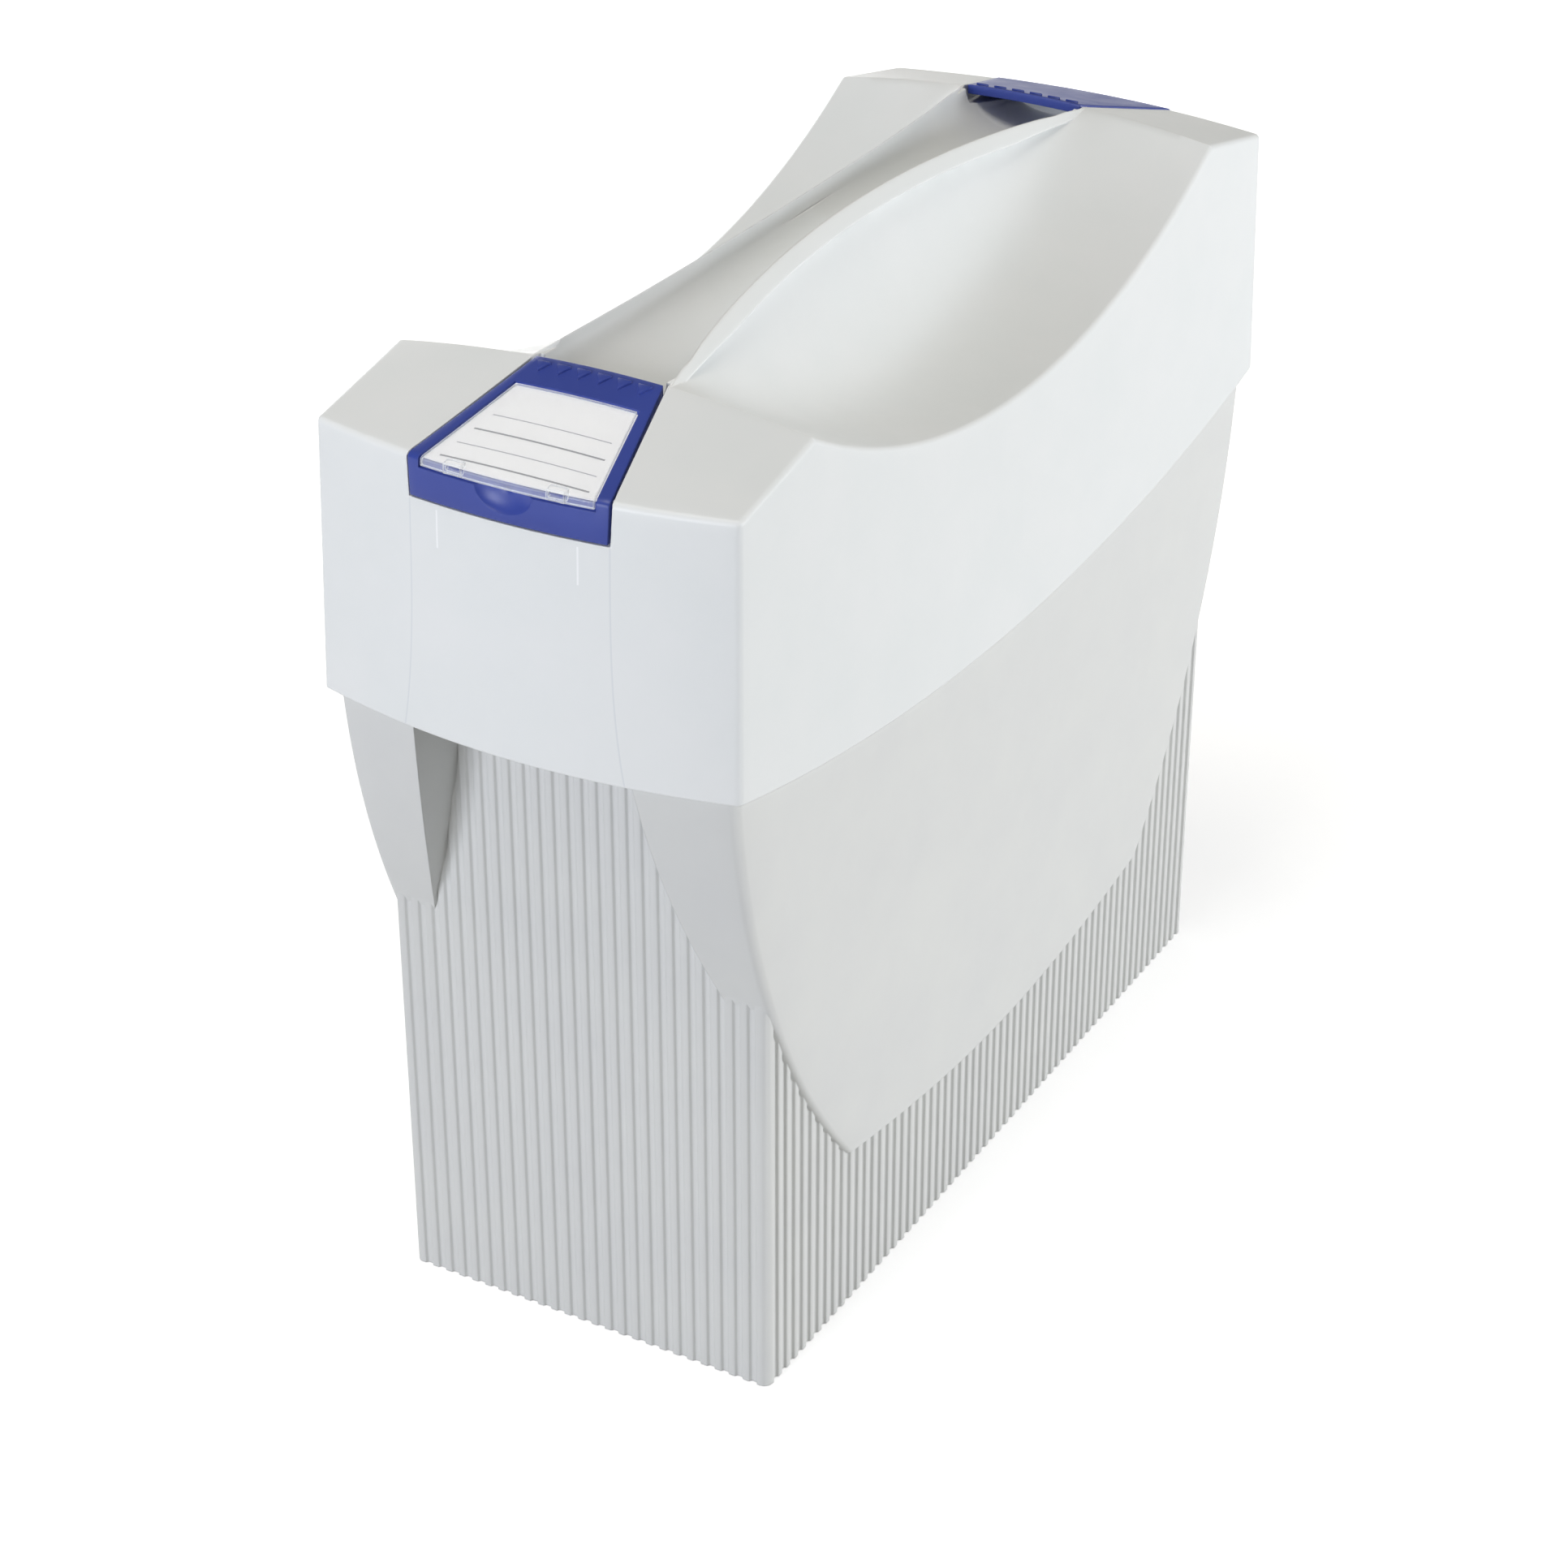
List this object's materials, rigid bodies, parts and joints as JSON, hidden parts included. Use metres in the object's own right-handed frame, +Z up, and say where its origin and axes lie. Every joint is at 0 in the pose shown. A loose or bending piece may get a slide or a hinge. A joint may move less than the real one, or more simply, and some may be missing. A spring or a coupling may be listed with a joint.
{
  "type": "hanging file box",
  "caption": "Upright plastic box for suspension files: ribbed tub, hood lid with a moulded handle, press latches at both ends and a label window.",
  "frame": {"origin": "centre of the tub's flat underside", "axes": "+X along the length towards the rear end (the label is at -X), +Y across the width, +Z up"},
  "size_m": [0.39, 0.1494, 0.345],
  "materials": {
    "tub_plastic": "satin moulded light grey",
    "lid_plastic": "satin moulded light grey",
    "latch_plastic": "satin moulded blue",
    "clear_plastic": "clear moulded",
    "label_paper": "white paper card"
  },
  "bodies": {
    "tub": {"tub": "tub_plastic"},
    "lid": {"lid": "lid_plastic"},
    "front_latch": {"front_latch": "latch_plastic", "label_card": "label_paper"},
    "rear_latch": {"rear_latch": "latch_plastic"},
    "label_flap": {"label_flap": "clear_plastic"}
  },
  "joints": [
    {"name": "lid_lift", "type": "slide", "parent": "tub", "child": "lid", "axis": [0, 0, 1], "range_m": [0, 0.12]},
    {"name": "front_latch_press", "type": "hinge", "parent": "lid", "child": "front_latch", "pos_m": [-0.172, 0, 0.316], "axis": [0, 1, 0], "range_deg": [0, 5], "stiffness_Nm_per_rad": 0.5, "springref_deg": -5.73},
    {"name": "rear_latch_press", "type": "hinge", "parent": "lid", "child": "rear_latch", "pos_m": [0.172, 0, 0.316], "axis": [0, -1, 0], "range_deg": [0, 5], "stiffness_Nm_per_rad": 0.5, "springref_deg": -5.73},
    {"name": "label_flap_turn", "type": "hinge", "parent": "front_latch", "child": "label_flap", "pos_m": [-0.1521, 0, 0.3331], "axis": [0, 1, 0], "range_deg": [0, 70]}
  ]
}
